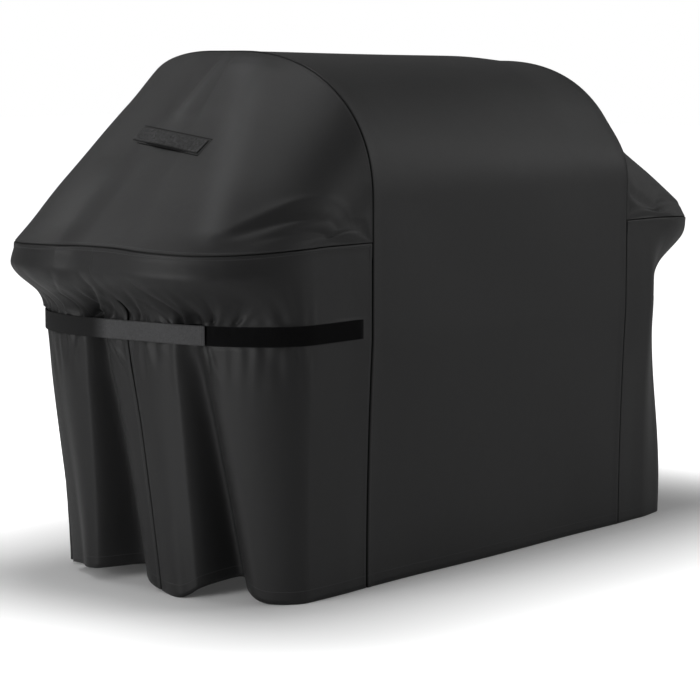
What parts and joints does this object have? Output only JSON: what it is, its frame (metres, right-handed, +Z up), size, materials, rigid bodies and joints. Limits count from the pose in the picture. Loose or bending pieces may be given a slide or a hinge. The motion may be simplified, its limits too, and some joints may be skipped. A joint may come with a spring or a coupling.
{
  "type": "grill cover",
  "caption": "Fitted cloth cover for a gas grill with side shelves: rounded hood, sloping ends, gathered skirts, cinch straps and end handles.",
  "frame": {"origin": "middle of the floor under the cover, at the height of its hem", "axes": "+Z up, X along the cover's length, -Y to its front"},
  "size_m": [1.738, 0.6777, 1.049],
  "materials": {
    "cover_cloth": "satin",
    "seam_tape": "satin",
    "cinch_webbing": "matte",
    "handle_webbing": "matte",
    "loop_pile": "matte",
    "hook_tape": "matte"
  },
  "bodies": {
    "cover": {"centre_panel": "cover_cloth", "left_end_panel": "cover_cloth", "left_skirt_front": "cover_cloth", "left_skirt_back": "cover_cloth", "left_arch_seam_tape": "seam_tape", "left_shelf_seam_tape": "seam_tape", "left_end_seam_tape": "seam_tape", "left_loop_strip": "loop_pile", "left_strap_anchor": "cinch_webbing", "left_handle_backing": "cover_cloth", "left_handle_ends": "handle_webbing", "right_end_panel": "cover_cloth", "right_skirt_front": "cover_cloth", "right_skirt_back": "cover_cloth", "right_arch_seam_tape": "seam_tape", "right_shelf_seam_tape": "seam_tape", "right_end_seam_tape": "seam_tape", "right_loop_strip": "loop_pile", "right_strap_anchor": "cinch_webbing", "right_handle_backing": "cover_cloth", "right_handle_ends": "handle_webbing"},
    "left_strap": {"left_strap": "cinch_webbing"},
    "left_strap_tab": {"left_strap_tab": "cinch_webbing", "left_hook_pad": "hook_tape"},
    "left_handle": {"left_handle_grip": "handle_webbing"},
    "right_strap": {"right_strap": "cinch_webbing"},
    "right_strap_tab": {"right_strap_tab": "cinch_webbing", "right_hook_pad": "hook_tape"},
    "right_handle": {"right_handle_grip": "handle_webbing"}
  },
  "joints": [
    {"name": "left_strap_swing", "type": "hinge", "parent": "cover", "child": "left_strap", "pos_m": [-0.61192, 0.34075, 0.515], "axis": [0, 0, -1], "range_deg": [0, 100]},
    {"name": "left_tab_peel", "type": "hinge", "parent": "left_strap", "child": "left_strap_tab", "pos_m": [-0.78075, -0.06992, 0.515], "axis": [0, 0, -1], "range_deg": [0, 130]},
    {"name": "left_handle_lift", "type": "hinge", "parent": "cover", "child": "left_handle", "pos_m": [-0.63582, 0.0068, 0.88939], "axis": [0.1266, 0.9857, 0.1112], "range_deg": [0, 55]},
    {"name": "right_strap_swing", "type": "hinge", "parent": "cover", "child": "right_strap", "pos_m": [0.61192, 0.34075, 0.515], "axis": [0, 0, 1], "range_deg": [0, 100]},
    {"name": "right_tab_peel", "type": "hinge", "parent": "right_strap", "child": "right_strap_tab", "pos_m": [0.78075, -0.06992, 0.515], "axis": [0, 0, 1], "range_deg": [0, 130]},
    {"name": "right_handle_lift", "type": "hinge", "parent": "cover", "child": "right_handle", "pos_m": [0.63582, 0.0068, 0.88939], "axis": [0.1266, -0.9857, -0.1112], "range_deg": [0, 55]}
  ]
}
